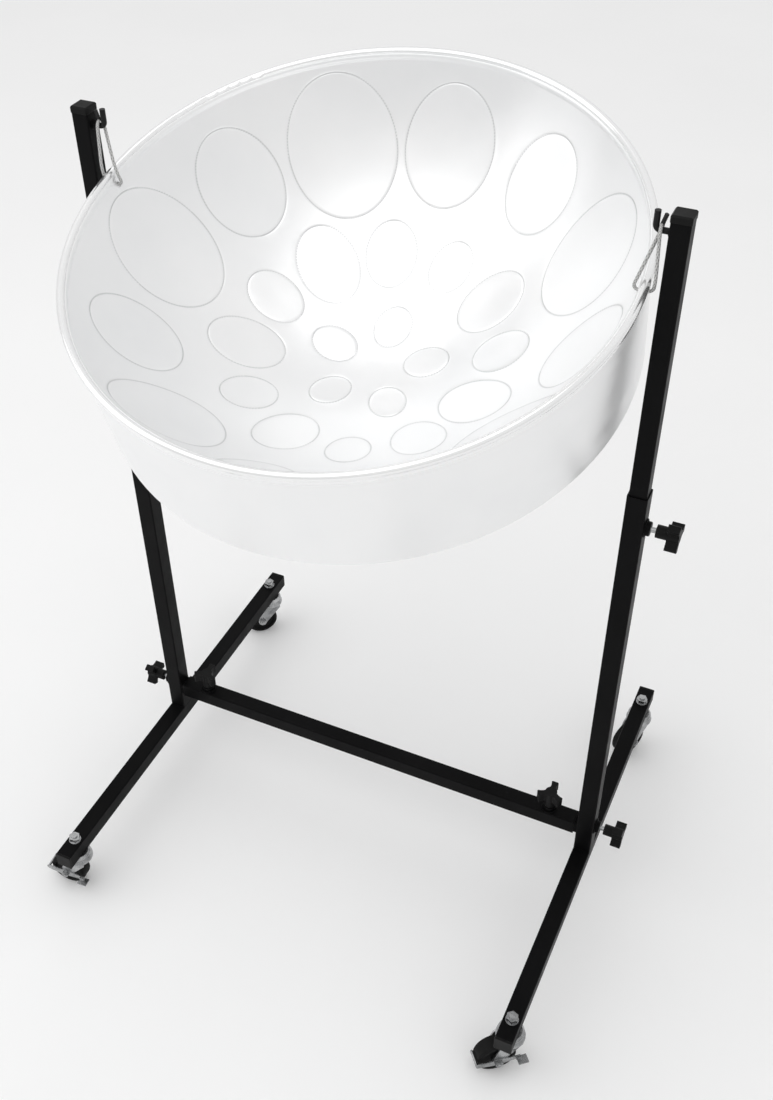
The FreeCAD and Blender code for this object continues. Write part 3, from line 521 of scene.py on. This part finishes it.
def bowl_point(point):
    """Where a map point lies in the rim's frame, and how far into a groove it is."""
    if point.length <= EDGE_ARC + 1e-7:
        direction = from_map(point)
        height, groove = note_relief(direction)
        return direction * (SPHERE_R - height) + Vector((0, 0, SPHERE_Z)), groove
    way = point.normalized()
    return Vector((way.x * BOWL_EDGE_R, way.y * BOWL_EDGE_R, -BOWL_TOP + point.length - EDGE_ARC)), 0.0


def make_bowl():
    """The sunk playing face with 29 notes inside punched grooves, its flange and two cord holes."""
    rings = [hole_ring(side, HOLE_R) for _, side in SIDES]
    middles = [sum(ring, Vector((0, 0))) / len(ring) for ring in rings]
    inner = [p for p in note_points() + background_points()
             if p.length <= EDGE_ARC + 8 * MM and all((p - m).length > 2.2 * HOLE_R for m in middles)]
    points, edges = [], []
    for ring in rings:
        first = len(points)
        points += ring
        edges += [(first + i, first + (i + 1) % len(ring)) for i in range(len(ring))]
    for _, side in SIDES:
        points += hole_ring(side, 1.7 * HOLE_R)
    points += inner
    flat, _, triangles, *_ = delaunay_2d_cdt([p / MM for p in points], edges, [], 0, 1e-4)
    flat = [Vector(p) * MM for p in flat]
    faces = []
    for triangle in triangles:
        middle = sum((flat[i] for i in triangle), Vector((0, 0))) / 3
        if all((middle - m).length > 0.97 * HOLE_R for m in middles):
            faces.append(tuple(triangle))
    placed = [bowl_point(p) for p in flat]
    bowl = mesh_from("bowl", [PAN @ place for place, _ in placed], faces)
    groove = bowl.data.attributes.new("groove", "FLOAT", "POINT")
    groove.data.foreach_set("value", [depth for _, depth in placed])
    thicken = bowl.modifiers.new("sheet", "SOLIDIFY")
    thicken.thickness, thicken.offset = SHEET, -1.0
    return bowl


paint(add_piece(make_bowl(), "pan", "chrome_plate", "pan_bowl"), bowl_chrome)


# ---- Welds ----------------------------------------------------------------------------------
def make_weld(name, outline, normal, radius, ripple=2.4 * MM):
    """A rippled weld bead that follows a closed outline on a face."""
    sides, verts, faces = 8, [], []
    length = sum((outline[i] - outline[i - 1]).length for i in range(len(outline)))
    count = max(24, int(length / (0.6 * MM)))
    ring, travelled = [], 0.0
    for i in range(len(outline)):
        a, b = outline[i - 1], outline[i]
        ring.append((travelled, a, b))
        travelled += (b - a).length
    for step in range(count):
        at = length * step / count
        start, a, b = [r for r in ring if r[0] <= at][-1]
        forward = (b - a).normalized()
        middle = a + forward * (at - start)
        across = forward.cross(normal).normalized()
        waves = 0.13 * math.sin(2 * math.pi * at / ripple) + 0.05 * math.sin(at / (3.1 * MM))
        thick = radius * (1 + waves)
        for side in range(sides):
            angle = 2 * math.pi * side / sides
            verts.append(middle + (across * math.cos(angle) + normal * math.sin(angle)) * thick)
    for step in range(count):
        after = (step + 1) % count
        for side in range(sides):
            turn = (side + 1) % sides
            faces.append((step * sides + side, after * sides + side,
                          after * sides + turn, step * sides + turn))
    return mesh_from(name, verts, faces)


def circle(middle, normal, radius, count=40):
    """Points round a circle in the plane that normal stands on."""
    across = normal.orthogonal().normalized()
    up = normal.cross(across)
    turns = [2 * math.pi * i / count for i in range(count)]
    return [middle + (across * math.cos(turn) + up * math.sin(turn)) * radius for turn in turns]


def box_middle(node):
    low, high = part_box(node)
    return (low + high) / 2


def make_boss_welds():
    """A bead round the foot of each of the six threaded bosses."""
    for label, side in SIDES:
        outboard = Vector((side, 0, 0))
        for knob, tube, away in (("height_knob", f"lower_upright_{label}", outboard),
                                 ("foot_knob", f"lower_upright_{label}", outboard),
                                 ("crossbar_knob", "crossbar", Vector((0, 0, 1)))):
            low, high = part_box(tube)
            foot = box_middle(f"{knob}_{label}_screw")
            if tube == "crossbar":
                foot.z = high.z
            else:
                foot.x = high.x if side > 0 else low.x
            outline = circle(foot + away * 0.5 * MM, away, 9.2 * MM)
            bead = make_weld(f"weld_{knob}_{label}", outline, away, 1.15 * MM)
            add_piece(bead, "stand", "black_powder_coat")


def make_hook_welds():
    """A bead round the foot of each hook, on the post's inner face."""
    for label, side in SIDES:
        low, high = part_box(f"upper_post_{label}")
        hook_low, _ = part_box(f"hook_{label}")
        face = low.x if side > 0 else high.x
        middle = Vector((face - side * 0.4 * MM, (low.y + high.y) / 2, hook_low.z + 3.0 * MM))
        bead = make_weld(f"weld_hook_{label}", circle(middle, Vector((-side, 0, 0)), 3.9 * MM, 28),
                         Vector((-side, 0, 0)), 1.0 * MM, 1.9 * MM)
        add_piece(bead, f"{label}_post", "black_powder_coat")


make_boss_welds()
make_hook_welds()


# ---- CAD nodes that keep their shape ----------------------------------------------------------
for row in frame["record"]["subparts"]:
    node = nodes[row["node"]]
    if not node.hide_render:
        paint(node, skirt_chrome if row["node"] == "pan_skirt" else finishes[row["material_slot"]])


# ---- Floor and light ------------------------------------------------------------------------
def make_stage():
    floor = mesh_from("floor", [(-6, -6, 0), (6, -6, 0), (6, 6, 0), (-6, 6, 0)], [(0, 1, 2, 3)], False)
    material, tree, shader = new_material("floor_paper")
    coords = add(tree, "ShaderNodeTexCoord").outputs["Object"]
    patches = spread(tree, noise(tree, coords, 2.0), 0, 1)
    tree.links.new(tint(tree, patches, (0.94, 0.94, 0.94), (0.96, 0.96, 0.96)),
                   shader.inputs["Base Color"])
    shader.inputs["Roughness"].default_value = 0.9
    paint(floor, material)


def make_light(name, place, aim, size, power):
    lamp = bpy.data.lights.new(name, "AREA")
    lamp.shape, lamp.size, lamp.energy = "DISK", size, power
    obj = linked(name, lamp)
    obj.location = place
    obj.rotation_euler = (Vector(aim) - Vector(place)).to_track_quat("-Z", "Y").to_euler()


def make_world():
    """White studio walls, brightest overhead and greyer towards the horizon."""
    world = bpy.data.worlds.new("studio")
    world.use_nodes = True
    tree = world.node_tree
    parts = add(tree, "ShaderNodeSeparateXYZ")
    tree.links.new(add(tree, "ShaderNodeTexCoord").outputs["Generated"], parts.inputs[0])
    background = tree.nodes["Background"]
    background.inputs["Color"].default_value = (1, 1, 1, 1)
    tree.links.new(spread(tree, parts.outputs["Z"], 0.73, 0.84, 0.0, 0.7), background.inputs["Strength"])
    return world


make_stage()
make_light("softbox_above", (-0.6, -0.8, 3.2), (0, 0, 0.6), 3.6, 20)
make_light("softbox_left", (-2.8, -1.2, 1.8), (0, 0, 0.6), 2.4, 8)
scene.world = make_world()
scene.view_settings.view_transform = "Standard"
